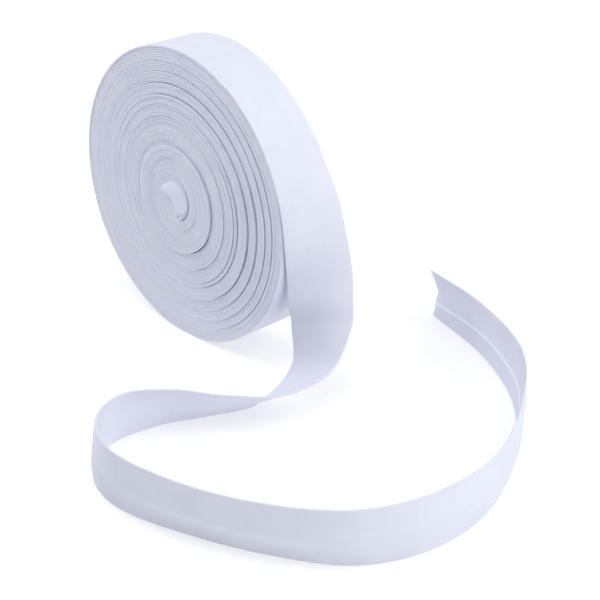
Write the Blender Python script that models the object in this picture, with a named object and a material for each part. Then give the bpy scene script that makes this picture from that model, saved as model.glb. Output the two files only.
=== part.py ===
"""A roll of folded bias tape standing on its rim, with its loose end running out over the surface.

Metres, +Z up. The roll's axis lies along Y, its near face looks along -Y, and the origin is on the
surface, in the middle of the small flat spot that the roll stands on. The loose end leaves the roll
on its +X side, twists down to the surface, stands on its near edge and goes round an open loop.
"""
import math

import bmesh
import bpy
from mathutils import Vector

MM = 0.001

# Tape: a 50 mm strip whose two sides are folded to the middle
TAPE_WIDTH = 25.0 * MM
TAPE_THICKNESS = 1.2 * MM
FLAP_GAP = 2.0 * MM
FLAP_STEP = 0.2 * MM
FLAP_SLOPE = 0.3 * MM

# Wound roll
ROLL_RADIUS = 60.4 * MM
CLEARANCE = 0.3 * MM
TURN_STEP = TAPE_THICKNESS + CLEARANCE
STEP_ANGLE = 60.0
STEP_WALL_ANGLE = 0.2
EASE_ANGLE = 315.0
FLAT_DEPTH = 0.35 * MM
EDGE_ROUND = 0.3 * MM
STATIONS = 72

# Groups of turns that slid along the axis: outer radius, how far the group stands out of the near face
RING_GROUPS = (
    (9.6, 3.0),
    (13.5, 2.6),
    (22.3, 2.2),
    (29.0, 1.5),
    (36.3, 1.1),
    (42.0, 0.7),
    (46.6, 0.4),
    (51.2, 0.2),
)

# Start of the tape at the core: a bent wad of a few layers, standing out of the innermost group
CORE_BEND_RADIUS = 8.7 * MM
CORE_BEND_CENTRE = (-2.2 * MM, -3.2 * MM)
CORE_ANGLES = (-22.0, 112.0)
CORE_WIDTH = 5.2 * MM
CORE_HEIGHT = 0.9 * MM
CORE_OVERLAP = 1.0 * MM
CORE_STEPS = 10

# Loose end, still on the roll: angle on the rim, lift of the near edge, lift of the far edge
ON_ROLL = (
    (59.5, 0.0, 0.0),
    (46.0, 0.0, 0.1),
    (33.0, 0.0, 0.6),
    (21.0, 0.1, 1.6),
)

# Loose end, free: near edge x, y, z, far edge x, y, z, how far the middle crease stands out,
# how far each half swells
FREE = (
    (59.6, -12.3, 70.5, 64.4, 11.8, 73.0, 0.0, 0.1),
    (60.8, -11.8, 57.0, 69.0, 11.3, 60.0, -0.2, 0.2),
    (59.4, -9.0, 42.0, 73.7, 10.3, 44.5, -0.4, 0.3),
    (58.8, -8.3, 33.3, 77.4, 7.7, 36.2, -0.6, 0.3),
    (58.9, -6.2, 24.5, 80.9, 3.3, 28.0, -0.6, 0.3),
    (62.5, -10.1, 8.6, 86.2, -12.6, 16.6, -0.6, 0.2),
    (64.0, -29.0, 0.6, 83.8, -34.0, 14.8, -1.0, 0.1),
    (57.7, -47.7, 0.0, 74.2, -52.6, 18.1, -0.4, 0.2),
    (50.1, -65.5, 0.0, 62.7, -67.5, 21.7, 0.0, 0.3),
    (49.0, -86.2, 0.0, 56.2, -84.5, 24.3, -0.2, 0.4),
    (61.2, -102.0, 0.0, 63.6, -100.8, 24.8, -0.4, 0.5),
    (81.0, -106.8, 0.0, 81.7, -109.2, 24.8, -0.5, 0.6),
    (109.0, -99.2, 0.0, 111.0, -104.5, 24.4, -0.5, 0.6),
    (135.0, -87.4, 0.0, 138.2, -92.6, 24.6, -0.5, 0.6),
    (156.8, -71.6, 0.0, 160.2, -74.4, 24.5, -0.3, 0.5),
    (167.9, -48.6, 0.0, 170.7, -49.1, 24.2, 0.3, 0.4),
    (167.6, -20.4, 0.0, 170.5, -19.7, 24.5, 1.2, 0.2),
    (154.5, 9.8, 0.0, 156.9, 11.2, 24.7, 2.0, 0.1),
    (130.8, 40.7, 0.0, 131.8, 41.2, 24.8, 2.8, 0.0),
    (98.0, 61.5, 0.0, 97.1, 59.2, 24.5, 3.4, 0.0),
    (61.2, 73.2, 0.0, 61.4, 69.9, 24.0, 3.6, 0.0),
)
TAIL_SECTION_SPACING = 6.0 * MM


def clear_scene():
    for old in list(bpy.data.objects):
        bpy.data.objects.remove(old, do_unlink=True)


def cotton(name, colour):
    material = bpy.data.materials.new(name)
    material.use_nodes = True
    shader = material.node_tree.nodes["Principled BSDF"]
    shader.inputs["Base Color"].default_value = colour
    shader.inputs["Roughness"].default_value = 0.9
    shader.inputs["Metallic"].default_value = 0.0
    return material


def object_from(mesh_builder, name, material):
    bmesh.ops.recalc_face_normals(mesh_builder, faces=mesh_builder.faces)
    mesh = bpy.data.meshes.new(name)
    mesh_builder.to_mesh(mesh)
    mesh_builder.free()
    mesh.materials.append(material)
    mesh.shade_smooth()
    mesh.set_sharp_from_angle(angle=math.radians(35))
    made = bpy.data.objects.new(name, mesh)
    bpy.context.collection.objects.link(made)
    return made


def roll_radius(turned):
    """Outer radius of the winding: even, then easing in by one turn where it runs under the tail."""
    part = (turned - EASE_ANGLE) / (STEP_ANGLE + 360.0 - EASE_ANGLE)
    part = min(max(part, 0.0), 1.0)
    return ROLL_RADIUS - TURN_STEP * part * part * (3 - 2 * part)


AXIS_HEIGHT = roll_radius(270.0) - FLAT_DEPTH


def face_profile():
    """Radius and stand-out of the near face, from the middle to the edge of the last group."""
    points = []
    inner = 0.0
    for outer, stand_out in RING_GROUPS:
        if inner > 0.0:
            points.append((inner * MM, stand_out * MM))
        points.append((outer * MM, stand_out * MM))
        inner = outer
    points.append((inner * MM, 0.0))
    return points


def station_points(turned):
    """Points of one radial section of the roll, from the near face round the rim to the far face."""
    half = TAPE_WIDTH / 2
    rim = roll_radius(turned)
    face = face_profile()
    section = [(radius, -half - stand_out) for radius, stand_out in face]
    section += [(rim - EDGE_ROUND, -half), (rim, -half + EDGE_ROUND)]
    section += [(rim, half - EDGE_ROUND), (rim - EDGE_ROUND, half)]
    section += [(radius, half - stand_out) for radius, stand_out in reversed(face)]
    angle = math.radians(turned)
    placed = []
    for radius, y in section:
        z = AXIS_HEIGHT + radius * math.sin(angle)
        placed.append(Vector((radius * math.cos(angle), y, max(z, 0.0))))
    return placed


def bridge(mesh_builder, first, second):
    for here in range(len(first) - 1):
        corners = (first[here], first[here + 1], second[here + 1], second[here])
        mesh_builder.faces.new(corners)


def core_start():
    """The bent start of the tape, as a short crescent that reaches into the roll's middle."""
    near_face = -TAPE_WIDTH / 2 - RING_GROUPS[0][1] * MM
    made = bmesh.new()
    rows = []
    for index in range(CORE_STEPS + 1):
        part = index / CORE_STEPS
        angle = math.radians(CORE_ANGLES[0] + (CORE_ANGLES[1] - CORE_ANGLES[0]) * part)
        half_width = CORE_WIDTH / 2 * (0.35 + 0.65 * math.sin(math.pi * (0.12 + 0.76 * part)))
        row = []
        for radius, y in (
            (CORE_BEND_RADIUS - half_width, near_face + CORE_OVERLAP),
            (CORE_BEND_RADIUS - half_width, near_face - 0.6 * CORE_HEIGHT),
            (CORE_BEND_RADIUS, near_face - CORE_HEIGHT),
            (CORE_BEND_RADIUS + half_width, near_face - 0.6 * CORE_HEIGHT),
            (CORE_BEND_RADIUS + half_width, near_face + CORE_OVERLAP),
        ):
            x = CORE_BEND_CENTRE[0] + radius * math.cos(angle)
            z = AXIS_HEIGHT + CORE_BEND_CENTRE[1] + radius * math.sin(angle)
            row.append(made.verts.new((x, y, z)))
        rows.append(row)
    for first, second in zip(rows, rows[1:]):
        bridge(made, first + first[:1], second + second[:1])
    made.faces.new(rows[0])
    made.faces.new(rows[-1])
    return made


def build_roll(material):
    turned_angles = [STEP_ANGLE + 360.0 * index / STATIONS for index in range(STATIONS)]
    turned_angles.append(STEP_ANGLE + 360.0 - STEP_WALL_ANGLE)
    made = bmesh.new()
    stations = []
    for turned in turned_angles:
        stations.append([made.verts.new(point) for point in station_points(turned)])
    for first, second in zip(stations, stations[1:] + stations[:1]):
        bridge(made, first, second)
    made.faces.new([station[0] for station in stations])
    made.faces.new([station[-1] for station in stations])
    roll = object_from(made, "roll", material)

    start = object_from(core_start(), "core_start_cutter", material)
    start.hide_render = True
    start.display_type = "WIRE"
    joined = roll.modifiers.new("core_start", "BOOLEAN")
    joined.operation = "UNION"
    joined.solver = "EXACT"
    joined.object = start
    return roll


def rim_point(angle, y, lift):
    """Middle of the tape's thickness where it lies on the rim, with its gap to the turn below."""
    radius = roll_radius(angle + 360.0) + CLEARANCE + TAPE_THICKNESS / 2 + lift * MM
    turn = math.radians(angle)
    return (radius * math.cos(turn), y, AXIS_HEIGHT + radius * math.sin(turn))


def tail_rows():
    """Both edges, crease and swell of the loose end, one row after another, in metres."""
    half = TAPE_WIDTH / 2
    rows = []
    for angle, near_lift, far_lift in ON_ROLL:
        near = rim_point(angle, -half, near_lift)
        far = rim_point(angle, half, far_lift)
        rows.append(near + far + (0.0, 0.0))
    rows += [tuple(value * MM for value in row) for row in FREE]
    return rows


def middle(row):
    return Vector([(row[axis] + row[axis + 3]) / 2 for axis in range(3)])


def smooth_rows(rows, spacing):
    """Rows at an even spacing on a smooth curve through the given ones."""
    marks = [0.0]
    for first, second in zip(rows, rows[1:]):
        marks.append(marks[-1] + (middle(second) - middle(first)).length)
    last = len(rows) - 1

    def slope(index, column):
        before, after = max(index - 1, 0), min(index + 1, last)
        return (rows[after][column] - rows[before][column]) / (marks[after] - marks[before])

    count = round(marks[-1] / spacing)
    result = []
    span = 0
    for step in range(count + 1):
        place = marks[-1] * step / count
        while span < last - 1 and place > marks[span + 1]:
            span += 1
        length = marks[span + 1] - marks[span]
        t = (place - marks[span]) / length
        start_weight = 2 * t ** 3 - 3 * t ** 2 + 1
        end_weight = 3 * t ** 2 - 2 * t ** 3
        start_slope = (t ** 3 - 2 * t ** 2 + t) * length
        end_slope = (t ** 3 - t ** 2) * length
        result.append([
            start_weight * rows[span][column] + end_weight * rows[span + 1][column]
            + start_slope * slope(span, column) + end_slope * slope(span + 1, column)
            for column in range(len(rows[0]))
        ])
    return result


def tape_section(crease, swell):
    """Across the tape: place along the width and offset outwards, outer side first, as one loop."""
    half = math.sqrt((TAPE_WIDTH / 2) ** 2 - crease ** 2)
    thick = TAPE_THICKNESS / 2
    gap = FLAP_GAP / 2
    wall = gap + FLAP_SLOPE

    def bend(across):
        rise = crease * (1 - abs(across) / half)
        return rise + swell * math.sin(math.pi * abs(across) / half)

    outer = [(across, bend(across) + thick) for across in (-half, -half / 2, 0.0, half / 2, half)]
    inner = [(half, -thick), (half / 2, bend(half / 2) - thick), (wall, bend(wall) - thick)]
    inner += [(gap, bend(gap) - thick + FLAP_STEP), (-gap, bend(gap) - thick + FLAP_STEP)]
    inner += [(-wall, bend(wall) - thick), (-half / 2, bend(half / 2) - thick), (-half, -thick)]
    return outer + inner


def build_tail(material):
    rows = smooth_rows(tail_rows(), TAIL_SECTION_SPACING)
    middles = [middle(row) for row in rows]
    made = bmesh.new()
    sections = []
    for index, row in enumerate(rows):
        before, after = max(index - 1, 0), min(index + 1, len(rows) - 1)
        along = (middles[after] - middles[before]).normalized()
        across = (Vector(row[3:6]) - Vector(row[0:3])).normalized()
        outward = along.cross(across).normalized()
        ring = []
        for place, offset in tape_section(row[6], row[7]):
            point = middles[index] + across * place + outward * offset
            point.z = max(point.z, 0.0)
            ring.append(made.verts.new(point))
        sections.append(ring + ring[:1])
    for first, second in zip(sections, sections[1:]):
        bridge(made, first, second)
    made.faces.new(sections[0][:-1])
    made.faces.new(sections[-1][:-1])
    return object_from(made, "tail", material)


clear_scene()
build_roll(cotton("wound cotton tape", (0.60, 0.62, 0.74, 1.0)))
build_tail(cotton("loose cotton tape", (0.68, 0.70, 0.82, 1.0)))
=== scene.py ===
"""A roll of white folded bias tape standing on its rim, with its loose end running out in a loop.

Lengths in the tables are millimetres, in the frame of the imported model: +Y along the roll's axis from
the near face to the far face, +X to the side on which the loose end leaves, +Z up.
"""

import math
import random

import bpy
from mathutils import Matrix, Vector


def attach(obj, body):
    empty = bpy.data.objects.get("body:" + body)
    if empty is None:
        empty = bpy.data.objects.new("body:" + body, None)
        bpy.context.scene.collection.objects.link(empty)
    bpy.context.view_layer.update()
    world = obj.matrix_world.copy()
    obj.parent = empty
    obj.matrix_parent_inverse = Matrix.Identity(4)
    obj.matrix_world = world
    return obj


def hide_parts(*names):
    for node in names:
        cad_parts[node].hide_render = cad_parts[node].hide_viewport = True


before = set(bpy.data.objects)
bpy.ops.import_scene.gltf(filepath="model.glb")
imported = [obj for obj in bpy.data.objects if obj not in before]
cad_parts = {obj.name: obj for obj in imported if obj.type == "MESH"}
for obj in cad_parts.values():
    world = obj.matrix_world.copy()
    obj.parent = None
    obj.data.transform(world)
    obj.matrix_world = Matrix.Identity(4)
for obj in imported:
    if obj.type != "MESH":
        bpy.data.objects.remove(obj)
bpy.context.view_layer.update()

MM = 0.001

# Folded tape: its width, the cloth's thickness, the folded thickness, the distance from turn to turn, steps
# round a folded edge, the flat strip's width, and the distance between two threads of the weave
WIDTH = 25.0
CLOTH = 0.3
FOLDED = 0.88
PITCH = 0.9
EDGE_STEPS = 7
THREAD = 0.34

# Wound roll. Angles count from +X towards +Z. The loose end leaves the winding at LEAVES_AT, and the
# outer turn eases in by one pitch from EASE_ANGLE on, to pass under it.
RADIUS = 60.4
AXIS_HEIGHT = 60.05
LEAVES_AT = 60.0
EASE_ANGLE = 315.0
INNER_RADIUS = 0.9
ARC_STEP = 2.6
LARGEST_STEP = 9.0

# Turns: largest slip along the axis, extra slip of some turns and their share, choices for how deep the
# groove between two turns is, the direction where grooves are deepest, the least and the added rounding
SLIP = 0.07
EXTRA_SLIP = 0.15
EXTRA_SLIP_SHARE = 0.2
GROOVE_DEPTHS = (0.15, 0.4, 0.6, 1.0)
GROOVES_FACE = 115.0
LEAST_ROUNDING = 0.06
ADDED_ROUNDING = 0.38

# The stand-out is largest in one direction and less by up to twice this share opposite. A turn goes from
# one group to the next at GROUPS_CHANGE, within a share of a turn on both sides of it.
STAND_FACES = -25.0
STAND_SHARE = 0.15
GROUPS_CHANGE = 175.0
CHANGE_SHARE = 0.1

# The innermost turns lie aside of the axis: how far in x and z, from which radius on, over which length
CORE_ASIDE = (0.9, 0.8)
ASIDE_FROM = 30.0
ASIDE_LENGTH = 21.0

# Groups of turns that slid along the axis: outer radius, stand-out, width of the crevice around the
# group, and the direction in which that crevice opens most
GROUPS = (
    (8.9, 3.5, 0.75, 8.0),
    (13.4, 3.2, 0.12, -5.0),
    (22.3, 3.0, 0.90, 8.0),
    (29.0, 2.1, 0.45, 5.0),
    (35.2, 1.75, 0.35, 10.0),
    (36.3, 1.65, 0.55, 12.0),
    (42.0, 1.3, 0.95, 25.0),
    (46.6, 0.85, 0.95, 30.0),
    (51.2, 0.45, 0.60, 25.0),
    (54.5, 0.2, 0.50, 20.0),
    (61.0, 0.0, 0.0, 0.0),
)

# Loose end on the roll: angle on the rim, lift of the near edge, lift of the far edge
ON_ROLL = (
    (86.0, 0.0, 0.0),
    (73.0, 0.0, 0.0),
    (60.0, 0.0, 0.0),
    (53.0, 0.0, 0.0),
    (46.0, 0.0, 0.15),
    (39.0, 0.0, 0.6),
    (32.0, 0.0, 1.3),
    (21.0, 0.1, 2.4),
)
HIDDEN_ROWS = 2

# Loose end, free: near edge x, y, z, far edge x, y, z, how far the middle crease stands out, how far the
# near and the far half swell, how far the crease lies off the middle, reach of the near flap, and how
# far the raw edge of the far flap lifts
FREE = (
    (59.5, -12.4, 70.5, 64.6, 11.9, 73.0, 0.1, 0.1, 0.1, 0.3, 12.4, 0.02),
    (60.6, -11.9, 57.0, 69.8, 11.4, 60.0, 0.2, 0.1, 0.1, 0.5, 12.4, 0.02),
    (59.4, -9.0, 42.0, 74.2, 10.3, 44.5, 0.3, 0.0, 0.1, 0.7, 12.4, 0.02),
    (58.8, -8.3, 33.3, 77.4, 7.7, 36.2, 0.3, -0.1, 0.1, 0.9, 12.4, 0.02),
    (58.9, -6.2, 24.5, 80.9, 3.3, 28.0, 0.3, -0.1, 0.1, 0.9, 12.4, 0.02),
    (62.5, -10.1, 8.6, 86.2, -12.6, 16.6, 0.2, 0.1, 0.1, 0.6, 12.4, 0.02),
    (64.0, -29.0, 0.7, 83.8, -34.0, 14.8, 0.0, 0.2, 0.2, 0.0, 12.4, 0.02),
    (57.7, -47.7, 0.3, 74.2, -52.6, 18.1, 0.1, 0.2, 0.2, 0.0, 12.4, 0.02),
    (50.1, -65.5, 0.2, 62.7, -67.5, 21.7, 0.2, 0.2, 0.2, 0.0, 12.4, 0.02),
    (49.0, -86.2, 0.2, 56.2, -84.5, 24.3, 0.4, 0.4, 0.2, 0.4, 12.4, 0.02),
    (61.2, -102.0, 0.2, 63.6, -100.8, 24.8, 0.7, 0.5, 0.1, 0.8, 12.4, 0.02),
    (81.0, -106.8, 0.2, 81.7, -109.2, 24.8, 1.3, -0.3, -0.5, 0.8, 12.4, 0.02),
    (109.0, -99.2, 0.2, 111.0, -104.5, 24.4, 1.8, -0.9, -0.8, 0.3, 12.4, 0.02),
    (135.0, -87.4, 0.2, 138.2, -92.6, 24.6, 1.8, -0.9, -0.8, -0.2, 12.4, 0.02),
    (156.8, -71.6, 0.2, 160.2, -74.4, 24.5, 1.6, -0.8, -0.7, -0.2, 12.4, 0.02),
    (167.9, -48.6, 0.2, 170.7, -49.1, 24.2, 1.2, -0.4, -0.4, -0.6, 12.3, 0.02),
    (167.6, -20.4, 0.2, 170.3, -19.7, 24.5, 1.2, 0.3, 0.2, 0.0, 12.2, 0.2),
    (154.5, 9.8, 0.2, 155.9, 11.2, 24.7, 1.0, 1.0, 0.3, 0.0, 11.6, 1.3),
    (130.8, 40.7, 0.2, 131.8, 41.2, 24.8, 0.7, 0.3, 0.0, 0.0, 10.6, 1.1),
    (98.0, 61.5, 0.2, 97.3, 59.0, 24.5, 1.8, 0.0, 0.0, -0.5, 9.5, 0.7),
    (61.2, 73.2, 0.2, 63.3, 68.0, 23.8, 3.0, 0.0, 0.0, -0.5, 7.6, 0.5),
)
SECTION_SPACING = 1.0

# Flaps: the gap between both raw edges where they lie flat, how far they overlap where the far one lifts,
# the lifts at which the overlap begins and is full, the share of a flap from which on it lifts, and how
# fast. The last two columns of the table above are FLAT where the flaps meet in the middle.
FLAP_GAP = 0.25
FLAP_LAP = 0.6
LAP_LIFTS = (0.2, 0.5)
LIFT_FROM = 0.65
LIFT_POWER = 1.5
FLAT = (12.4, 0.02)

# Steps across the middle and across a flap, the share of a flap at its raw edge over which a painted
# highlight fades, how soft the middle crease is, and how far two pressed layers are apart
BASE_STEPS = 20
FLAP_STEPS = 12
RAW_SHARE = 0.09
SOFTNESS = 0.07
LAYER_GAP = 0.04
FOLD_FADES_IN = 1.6

# Start of the tape at the core: a crescent of bent layers between a circle round the axis and a smaller
# one beside it, with the angles at which both sides start and end, and the small curl at its lower end
WAD_CENTRE = (0.9, -0.1)
WAD_RADIUS = 7.8
WAD_ANGLES = (142.0, -52.0)
HOLLOW_CENTRE = (-4.3, -5.1)
HOLLOW_RADIUS = 8.4
HOLLOW_ANGLES = (96.0, -2.0)
CURL_CENTRE = (5.6, -4.7)
CURL_RADIUS = 1.45
CURL_HALF = 0.38
CURL_DEPTH = 1.9
CURL_STAND = 4.8

# Across the crescent, from its hollow side to its round one: share of the width, stand-out
WAD_PROFILE = (
    (0.00, 2.0),
    (0.00, 4.1),
    (0.03, 4.8),
    (0.09, 5.2),
    (0.20, 5.4),
    (0.36, 5.25),
    (0.55, 4.85),
    (0.73, 4.4),
    (0.87, 3.9),
    (0.96, 3.4),
    (1.00, 2.8),
    (1.00, 2.0),
)
WAD_ROOT = 3.0

# Cotton: two shades each, and the light colour of the painted highlight on a lifted raw edge
TAPE_SHADES = ((0.635, 0.658, 0.765), (0.685, 0.708, 0.805))
# The core's shades are lighter than the tape's: painted light on the crescent that stands out into the
# light
LIT_CORE_SHADES = ((0.665, 0.686, 0.79), (0.718, 0.74, 0.835))
RAW_EDGE_HIGHLIGHT_COLOUR = (0.88, 0.905, 0.99)

# Studio, in metres: half the floor's side, the floor's colour and glow, and the soft round lights with
# their name, place, size, power and colour. All of them look at LIT_POINT.
FLOOR_HALF = 3.0
FLOOR_COLOUR = (0.65, 0.65, 0.655)
FLOOR_GLOW = 0.41
ROOM_COLOUR = (0.95, 0.97, 1.0)
ROOM_STRENGTH = 0.03
LIT_POINT = Vector((0.05, -0.02, 0.05))
COOL = (0.98, 0.985, 1.0)
COOLER = (0.962, 0.958, 1.0)
LIGHTS = (
    ("back right", (1.0, 0.61, 0.86), 0.9, 6.8, (1.0, 0.985, 0.95)),
    ("right", (1.2, -0.05, 0.4), 0.9, 5.5, (1.0, 0.99, 0.97)),
    ("left", (-1.1, -0.1, 0.45), 0.9, 6.5, COOLER),
    ("top", (0.2, -0.15, 1.3), 1.4, 10.0, (0.98, 0.99, 1.0)),
    ("front", (-0.2, -1.1, 0.65), 0.9, 1.9, COOLER),
    ("back", (-0.3, 1.05, 0.75), 0.9, 3.4, COOL),
    ("upper left", (-0.6, -0.7, 1.2), 0.9, 4.7, COOLER),
)

# Camera, in metres and degrees
CAMERA_PLACE = (0.39716, -0.32029, 0.27026)
LOOKS_DOWN = 27.07
TURNED_LEFT = 46.7635
SENSOR_WIDTH = 36.0
LENS = 82.26


def mesh_object(name, points, faces, tape_places, material):
    """A mesh in metres, with each point's place on the unfolded tape kept for the weave."""
    mesh = bpy.data.meshes.new(name)
    mesh.from_pydata([tuple(value * MM for value in point) for point in points], [], faces)
    places = mesh.attributes.new("tape_place", "FLOAT_VECTOR", "POINT")
    places.data.foreach_set("vector", [value for place in tape_places for value in place])
    mesh.materials.append(material)
    mesh.validate()
    mesh.shade_smooth()
    mesh.set_sharp_from_angle(angle=math.radians(42))
    made = bpy.data.objects.new(name, mesh)
    bpy.context.collection.objects.link(made)
    return made


def tube_faces(sections, ring):
    """Quads between consecutive rings of points, and the two end caps."""
    faces = []
    for section in range(sections - 1):
        start = section * ring
        for here in range(ring):
            after = (here + 1) % ring
            faces.append((start + here, start + after, start + ring + after, start + ring + here))
    faces.append(tuple(range(ring - 1, -1, -1)))
    last = (sections - 1) * ring
    faces.append(tuple(range(last, last + ring)))
    return faces


def smooth(part):
    """From 0 to 1 with a soft start and a soft end."""
    return part * part * (3 - 2 * part)


def rim_radius(turned):
    """Outer radius of the winding at an angle counted inwards from where the loose end starts."""
    turns, rest = divmod(turned - LEAVES_AT, 360.0)
    part = (rest + LEAVES_AT - EASE_ANGLE) / (LEAVES_AT + 360.0 - EASE_ANGLE)
    return RADIUS - PITCH * (turns + smooth(min(max(part, 0.0), 1.0)))


def lap_group(lap):
    """A lap's stand-out, and the width and direction of the crevices outside and inside it.

    A lap is a full turn that begins at GROUPS_CHANGE, so it may have a negative number.
    """
    middle = RADIUS - PITCH * (lap + 0.5) - FOLDED / 2
    inner, crevice_within = 0.0, (0.0, 0.0)
    for outer, stand, width, opens in GROUPS:
        if middle < outer:
            break
        inner, crevice_within = outer, (width, opens)
    outside = (width, opens) if middle + PITCH >= outer else (0.0, 0.0)
    inside = crevice_within if middle - PITCH < inner else (0.0, 0.0)
    return stand, outside, inside


def wound_profile(standing_out, outer_gap, inner_gap, rounding):
    """One turn across: y and distance below the outer radius, rounded at both folded edges."""
    half = WIDTH / 2
    round_off = (FOLDED - outer_gap - inner_gap) / 2
    profile = []
    for side in (-1, 1):
        for step in range(EDGE_STEPS - 1):
            angle = math.pi * step / (EDGE_STEPS - 2)
            turned = angle if side < 0 else math.pi - angle
            y = side * (half - rounding * (1 - math.sin(angle)))
            profile.append((y - standing_out, outer_gap + round_off + round_off * math.cos(turned)))
    return profile


def group_stand(turned):
    """Stand-out at an angle, with the crevices of its lap. It goes over softly from lap to lap."""
    lap, share = divmod((turned - GROUPS_CHANGE) / 360.0, 1.0)
    stand, outside, inside = lap_group(lap)
    for close, neighbour in ((share, lap - 1), (1 - share, lap + 1)):
        if close < CHANGE_SHARE:
            blend = 0.5 + 0.5 * close / CHANGE_SHARE
            stand = stand * blend + lap_group(neighbour)[0] * (1 - blend)
    return stand, outside, inside


def build_wound(material):
    """All turns of the roll as one wound band, slid along the axis in groups, with crevices between."""
    chance = random.Random(7)
    total_turns = (RADIUS - INNER_RADIUS) / PITCH
    last_angle = LEAVES_AT + 360.0 * total_turns
    slips, depths = [], []
    for _ in range(int(total_turns) + 3):
        slip = chance.uniform(-SLIP, SLIP)
        slips.append(slip + (EXTRA_SLIP if chance.random() < EXTRA_SLIP_SHARE else 0.0))
        depths.append(chance.choice(GROOVE_DEPTHS))
    points, places = [], []
    turned = LEAVES_AT
    along = 0.0
    sections = 0
    while turned < last_angle:
        radius = rim_radius(turned)
        turns = (turned - LEAVES_AT) / 360.0
        angle = math.radians(turned)
        index = int(turns)
        mix = smooth(turns - index)
        slip = slips[index] * (1 - mix) + slips[index + 1] * mix
        slip += 0.03 * math.sin(3.1 * angle + index) + 0.02 * math.sin(7.3 * angle)
        depth = depths[index] * (1 - mix) + depths[index + 1] * mix
        lined = max(0.0, math.cos(angle - math.radians(GROOVES_FACE))) ** 0.8
        rounding = LEAST_ROUNDING + ADDED_ROUNDING * depth * (0.16 + 0.84 * lined)

        standing_out, outside, inside = group_stand(turned)
        outer_crevice, inner_crevice = [
            width * max(0.0, math.cos(angle - math.radians(opens))) for width, opens in (outside, inside)
        ]
        facing = math.cos(angle - math.radians(STAND_FACES))
        standing_out *= 1 - STAND_SHARE + STAND_SHARE * facing
        profile = wound_profile(standing_out + slip, 0.35 * outer_crevice, 0.6 * inner_crevice, rounding)
        middle = radius - FOLDED / 2
        aside = min(1.0, max(0.0, (ASIDE_FROM - middle) / ASIDE_LENGTH))
        for y, below in profile:
            reach = radius - below
            x = reach * math.cos(angle) + CORE_ASIDE[0] * aside
            z = AXIS_HEIGHT + reach * math.sin(angle) + CORE_ASIDE[1] * aside
            points.append((x, y, max(z, 0.0)))
            places.append((-along, y + standing_out, 0.0))
        sections += 1
        step = min(ARC_STEP / radius, math.radians(LARGEST_STEP))
        turned += math.degrees(step)
        along += step * radius
    ring = 2 * (EDGE_STEPS - 1)
    return mesh_object("wound_tape", points, tube_faces(sections, ring), places, material)


def build_wad(material):
    """The bent start of the tape, a smooth crescent that stands out of the near face."""
    points, places = [], []
    steps = 40
    for step in range(steps + 1):
        part = step / steps
        convex = math.radians(WAD_ANGLES[0] + (WAD_ANGLES[1] - WAD_ANGLES[0]) * part)
        hollow = math.radians(HOLLOW_ANGLES[0] + (HOLLOW_ANGLES[1] - HOLLOW_ANGLES[0]) * part)
        near_end = min(1.0, 9 * min(part, 1 - part))
        taper = math.sqrt(1 - (1 - near_end) ** 2)
        x_out = WAD_CENTRE[0] + WAD_RADIUS * math.cos(convex)
        z_out = WAD_CENTRE[1] + WAD_RADIUS * math.sin(convex)
        x_in = HOLLOW_CENTRE[0] + HOLLOW_RADIUS * math.cos(hollow)
        z_in = HOLLOW_CENTRE[1] + HOLLOW_RADIUS * math.sin(hollow)
        for share, stand in WAD_PROFILE:
            narrowed = 0.5 + (share - 0.5) * (0.6 + 0.4 * taper)
            raised = stand
            if stand > WAD_ROOT:
                raised = WAD_ROOT + (stand - WAD_ROOT) * (0.35 + 0.65 * taper)
            raised += 0.04 * math.sin(7 * part + 9 * share)
            x = x_in + (x_out - x_in) * narrowed
            z = z_in + (z_out - z_in) * narrowed
            points.append((x, -WIDTH / 2 - raised, AXIS_HEIGHT + z))
            places.append((12 * part, 6 * share, 0.0))
    return mesh_object("core_wad", points, tube_faces(steps + 1, len(WAD_PROFILE)), places, material)


def build_curl(material):
    """The tape's very end at the core, curled into a small ring."""
    points, places = [], []
    steps, ring = 30, 10
    for step in range(steps + 1):
        part = step / steps
        angle = math.radians(70 + 330 * part)
        radius = CURL_RADIUS * (1.0 - 0.35 * part)
        for corner in range(ring):
            turn = 2 * math.pi * corner / ring
            reach = radius + CURL_HALF * math.cos(turn)
            out = math.sin(turn)
            stand = CURL_STAND + (CURL_HALF if out > 0 else CURL_DEPTH) * out
            points.append((
                CURL_CENTRE[0] + reach * math.cos(angle),
                -WIDTH / 2 - stand,
                AXIS_HEIGHT + CURL_CENTRE[1] + reach * math.sin(angle),
            ))
            places.append((radius * angle, turn, 0.0))
    return mesh_object("core_curl", points, tube_faces(steps + 1, ring), places, material)


def rim_row(angle, near_lift, far_lift):
    """A row of the loose end where it lies on the rim, in the middle of its thickness."""
    turn = math.radians(angle)
    row = []
    for y, lift in ((-WIDTH / 2, near_lift), (WIDTH / 2, far_lift)):
        radius = RADIUS - FOLDED / 2 + lift
        if angle > LEAVES_AT:
            radius = rim_radius(angle) - FOLDED / 2
        row += [radius * math.cos(turn), y, AXIS_HEIGHT + radius * math.sin(turn)]
    return tuple(row) + (0.0, 0.0, 0.0, 0.0) + FLAT


def row_middle(row):
    """The middle between a row's two edges."""
    return Vector([(row[axis] + row[axis + 3]) / 2 for axis in range(3)])


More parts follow.
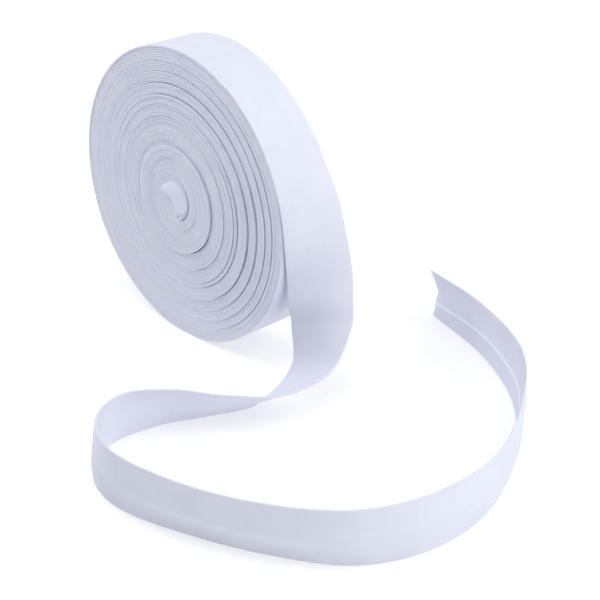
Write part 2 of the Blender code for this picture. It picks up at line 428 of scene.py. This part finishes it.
def smooth_rows(rows, spacing, skipped):
    """Rows at an even spacing on a smooth curve through the given ones, without the first spans."""
    marks = [0.0]
    for first, second in zip(rows, rows[1:]):
        marks.append(marks[-1] + (row_middle(second) - row_middle(first)).length)
    last = len(rows) - 1

    def slope(index, column):
        before, after = max(index - 1, 0), min(index + 1, last)
        return (rows[after][column] - rows[before][column]) / (marks[after] - marks[before])

    begin = marks[skipped]
    count = round((marks[-1] - begin) / spacing)
    result = []
    span = skipped
    for step in range(count + 1):
        place = begin + (marks[-1] - begin) * step / count
        while span < last - 1 and place > marks[span + 1]:
            span += 1
        length = marks[span + 1] - marks[span]
        t = (place - marks[span]) / length
        start_weight = 2 * t ** 3 - 3 * t ** 2 + 1
        end_weight = 3 * t ** 2 - 2 * t ** 3
        start_slope = (t ** 3 - 2 * t ** 2 + t) * length
        end_slope = (t ** 3 - t ** 2) * length
        result.append([
            start_weight * rows[span][column] + end_weight * rows[span + 1][column]
            + start_slope * slope(span, column) + end_slope * slope(span + 1, column)
            for column in range(len(rows[0]))
        ])
    return result


def folded_line(crease, near_swell, far_swell, crease_at, near_reach, gape):
    """Middle line of the folded cloth across the tape: across, outwards, and place on the flat strip.

    It runs from the near flap's raw edge round the near fold, over the smooth outer side, and round the
    far fold to the far flap's raw edge, which may lift.
    """
    half = math.sqrt((WIDTH / 2) ** 2 - crease ** 2)
    bend = (FOLDED - CLOTH) / 2
    fold_at = half - bend - CLOTH / 2

    def base(across):
        """How far the smooth outer side's middle line stands out."""
        side = half - crease_at if across > crease_at else half + crease_at
        swell = far_swell if across > crease_at else near_swell
        part = min(1.0, abs(across - crease_at) / side)
        part = (math.hypot(part, SOFTNESS) - SOFTNESS) / (math.hypot(1, SOFTNESS) - SOFTNESS)
        return crease * (1 - part) + swell * math.sin(math.pi * part)

    def layer_gap(distance):
        """How far the flap's middle line lies under the base's, by the distance from the fold."""
        pressed = CLOTH + LAYER_GAP
        return pressed + (2 * bend - pressed) * math.exp(-distance / FOLD_FADES_IN)

    line = []
    lap_share = (gape - LAP_LIFTS[0]) / (LAP_LIFTS[1] - LAP_LIFTS[0])
    apart = FLAP_GAP - (FLAP_GAP + FLAP_LAP) * min(1.0, max(0.0, lap_share))
    for side, reach in ((-1, near_reach), (1, WIDTH - apart - near_reach)):
        flap = []
        for step in range(FLAP_STEPS + 1):
            distance = (reach - bend) * (1 - (RAW_SHARE if step == 1 else step / FLAP_STEPS))
            across = side * (fold_at - distance)
            out = bend + base(across) - layer_gap(distance)
            if side > 0:
                lifted = max(0.0, (distance / reach - LIFT_FROM) / (1 - LIFT_FROM))
                out -= gape * lifted ** LIFT_POWER
            flap.append((across, out, side * (half + distance)))
        turn = []
        for step in range(1, EDGE_STEPS):
            angle = math.pi * step / EDGE_STEPS
            turn.append((
                side * (fold_at + bend * math.sin(angle)),
                base(side * fold_at) - bend * math.cos(angle),
                side * (half - 0.4 * math.cos(angle)),
            ))
        if side < 0:
            line += flap + turn
            for step in range(BASE_STEPS + 1):
                across = -fold_at + 2 * fold_at * step / BASE_STEPS
                line.append((across, base(across) + bend, across))
        else:
            line += turn[::-1] + flap[::-1]
    return line


def thick_ring(line):
    """The closed outline of a cloth of CLOTH's thickness round a middle line."""
    outer, inner = [], []
    for index, (across, out, place) in enumerate(line):
        before, after = line[max(index - 1, 0)], line[min(index + 1, len(line) - 1)]
        step_across, step_out = after[0] - before[0], after[1] - before[1]
        length = math.hypot(step_across, step_out)
        side_across, side_out = -step_out / length, step_across / length
        half = CLOTH / 2
        outer.append((across + side_across * half, out + side_out * half, place))
        inner.append((across - side_across * half, out - side_out * half, place))
    return outer + inner[::-1]


def build_loose(material):
    """The loose end as one folded strip along its rows, and its length."""
    chance = random.Random(11)
    rows = [rim_row(*entry) for entry in ON_ROLL] + list(FREE)
    rows = smooth_rows(rows, SECTION_SPACING, HIDDEN_ROWS)
    middles = [row_middle(row) for row in rows]
    points, places = [], []
    along = 0.0
    ring_size = 0
    for index, row in enumerate(rows):
        before, after = max(index - 1, 0), min(index + 1, len(rows) - 1)
        direction = (middles[after] - middles[before]).normalized()
        across_axis = (Vector(row[3:6]) - Vector(row[0:3])).normalized()
        outward = direction.cross(across_axis).normalized()
        if index:
            along += (middles[index] - middles[index - 1]).length
        crease, near_swell, far_swell, crease_at, near_reach, gape = row[6:12]
        crease += 0.06 * math.sin(along / 13.0)
        near_swell *= 1 + 0.12 * math.sin(along / 19.0 + 1.0)
        near_reach += 0.12 * math.sin(along / 17.0) + chance.uniform(-0.04, 0.04)
        line = folded_line(crease, near_swell, far_swell, crease_at, near_reach, gape)
        ring = thick_ring(line)
        ring_size = len(ring)
        for number, (place, out, strip_place) in enumerate(ring):
            point = middles[index] + across_axis * place + outward * out
            points.append((point.x, point.y, max(point.z, 0.05)))
            # Raw-edge points get a painted highlight, stronger the more the far flap lifts in that row
            raw = min(number, ring_size - 1 - number) in (0, len(line) - 1)
            painted_highlight = min(1.0, gape / LAP_LIFTS[1]) if raw else 0.0
            places.append((along, strip_place, painted_highlight))
    made = mesh_object("loose_tape", points, tube_faces(len(rows), ring_size), places, material)
    return made, along


def math_node(tree, operation, first, second=None):
    """A sum, product or the like of sockets or numbers, as a socket."""
    node = tree.nodes.new("ShaderNodeMath")
    node.operation = operation
    for socket, value in zip(node.inputs, (first, second)):
        if value is None:
            continue
        if isinstance(value, (int, float)):
            socket.default_value = value
        else:
            tree.links.new(value, socket)
    return node.outputs[0]


def noise(tree, scale, detail):
    """Even noise through the object, as a socket. A larger scale is finer."""
    coordinates = tree.nodes.new("ShaderNodeTexCoord")
    made = tree.nodes.new("ShaderNodeTexNoise")
    made.inputs["Scale"].default_value = scale
    made.inputs["Detail"].default_value = detail
    tree.links.new(coordinates.outputs["Object"], made.inputs["Vector"])
    return made.outputs["Fac"]


def cotton(name, shade, tint):
    """White plain-woven cotton cut on the bias: threads at 45 degrees to the tape's edges.

    tape_place holds the place along and across the unfolded strip, and how much painted highlight a raw
    edge gets.
    """
    material = bpy.data.materials.new(name)
    material.use_nodes = True
    tree = material.node_tree
    shader = tree.nodes["Principled BSDF"]
    shader.inputs["Roughness"].default_value = 0.88
    shader.inputs["Specular IOR Level"].default_value = 0.25
    shader.inputs["Sheen Weight"].default_value = 0.06
    shader.inputs["Sheen Roughness"].default_value = 0.6
    place = tree.nodes.new("ShaderNodeAttribute")
    place.attribute_name = "tape_place"
    split = tree.nodes.new("ShaderNodeSeparateXYZ")
    tree.links.new(place.outputs["Vector"], split.inputs[0])
    along, across, raw_highlight_share = split.outputs
    diagonal = math.pi / (THREAD * math.sqrt(2))
    together = math_node(tree, "ADD", along, across)
    apart = math_node(tree, "SUBTRACT", along, across)
    warp = math_node(tree, "SINE", math_node(tree, "MULTIPLY", together, diagonal))
    weft = math_node(tree, "SINE", math_node(tree, "MULTIPLY", apart, diagonal))
    weave = math_node(tree, "MULTIPLY", warp, weft)

    soft = noise(tree, 90.0, 4.0)
    fine = noise(tree, 1400.0, 3.0)

    ramp = tree.nodes.new("ShaderNodeValToRGB")
    ramp.color_ramp.elements[0].position = 0.3
    ramp.color_ramp.elements[1].position = 0.7
    ramp.color_ramp.elements[0].color = shade + (1.0,)
    ramp.color_ramp.elements[1].color = tint + (1.0,)
    mixed = math_node(tree, "MULTIPLY", soft, 0.55)
    mixed = math_node(tree, "ADD", mixed, math_node(tree, "MULTIPLY", fine, 0.3))
    mixed = math_node(tree, "ADD", mixed, math_node(tree, "MULTIPLY", weave, 0.08))
    tree.links.new(math_node(tree, "ADD", mixed, 0.08), ramp.inputs["Fac"])
    # Painted highlight: raw edges are mixed towards a light colour
    painted_highlight = tree.nodes.new("ShaderNodeMix")
    painted_highlight.data_type = "RGBA"
    factor, first_colour, second_colour = painted_highlight.inputs[0], painted_highlight.inputs[6], painted_highlight.inputs[7]
    second_colour.default_value = RAW_EDGE_HIGHLIGHT_COLOUR + (1.0,)
    tree.links.new(raw_highlight_share, factor)
    tree.links.new(ramp.outputs["Color"], first_colour)
    tree.links.new(painted_highlight.outputs[2], shader.inputs["Base Color"])

    height = math_node(tree, "ADD", math_node(tree, "MULTIPLY", weave, 0.5), fine)
    bump = tree.nodes.new("ShaderNodeBump")
    bump.inputs["Strength"].default_value = 0.35
    bump.inputs["Distance"].default_value = 0.00006
    tree.links.new(height, bump.inputs["Height"])
    tree.links.new(bump.outputs["Normal"], shader.inputs["Normal"])
    return material


def plain(name, colour, roughness, glow):
    """An even surface that also glows white a little."""
    material = bpy.data.materials.new(name)
    material.use_nodes = True
    shader = material.node_tree.nodes["Principled BSDF"]
    shader.inputs["Base Color"].default_value = colour + (1.0,)
    shader.inputs["Roughness"].default_value = roughness
    shader.inputs["Specular IOR Level"].default_value = 0.1
    shader.inputs["Emission Color"].default_value = (1.0, 1.0, 1.0, 1.0)
    shader.inputs["Emission Strength"].default_value = glow
    return material


def area_light(name, place, size, power, colour):
    """A round soft light that looks at the middle of the object."""
    data = bpy.data.lights.new(name, "AREA")
    data.shape = "DISK"
    data.size = size
    data.energy = power
    data.color = colour
    light = bpy.data.objects.new(name, data)
    light.location = place
    aim = LIT_POINT - Vector(place)
    light.rotation_mode = "QUATERNION"
    light.rotation_quaternion = aim.to_track_quat("-Z", "Y")
    bpy.context.collection.objects.link(light)


def build_stage():
    """The pale floor, the dim room and the lights."""
    mesh = bpy.data.meshes.new("floor")
    corners = [(FLOOR_HALF * x, FLOOR_HALF * y, 0.0) for x, y in ((-1, -1), (1, -1), (1, 1), (-1, 1))]
    mesh.from_pydata(corners, [], [(0, 1, 2, 3)])
    mesh.materials.append(plain("pale floor", FLOOR_COLOUR, 0.9, FLOOR_GLOW))
    floor = bpy.data.objects.new("floor", mesh)
    bpy.context.collection.objects.link(floor)

    scene = bpy.context.scene
    scene.world = bpy.data.worlds.new("studio")
    scene.world.use_nodes = True
    background = scene.world.node_tree.nodes["Background"]
    background.inputs["Color"].default_value = ROOM_COLOUR + (1.0,)
    background.inputs["Strength"].default_value = ROOM_STRENGTH
    for light in LIGHTS:
        area_light(*light)


def build_camera():
    """The camera that the photo was taken with."""
    data = bpy.data.cameras.new("camera")
    data.sensor_width = SENSOR_WIDTH
    data.lens = LENS
    data.clip_start = 0.01
    data.clip_end = 20.0
    camera = bpy.data.objects.new("camera", data)
    camera.location = CAMERA_PLACE
    camera.rotation_euler = (math.radians(90 - LOOKS_DOWN), 0.0, math.radians(TURNED_LEFT))
    bpy.context.collection.objects.link(camera)
    bpy.context.scene.camera = camera


build_camera()
bias_cotton = cotton("bias cotton", *TAPE_SHADES)

wound = build_wound(bias_cotton)
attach(wound, "root")
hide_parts("roll")

# The core pieces get the lighter copy of the cotton: painted light on the part that stands out of the near
# face
lit_core_cotton = cotton("core cotton painted lighter", *LIT_CORE_SHADES)
for core_piece in (build_wad(lit_core_cotton), build_curl(lit_core_cotton)):
    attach(core_piece, "root")

loose, loose_length = build_loose(bias_cotton)
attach(loose, "root")
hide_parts("tail")

build_stage()
bpy.context.scene.view_settings.view_transform = "Standard"
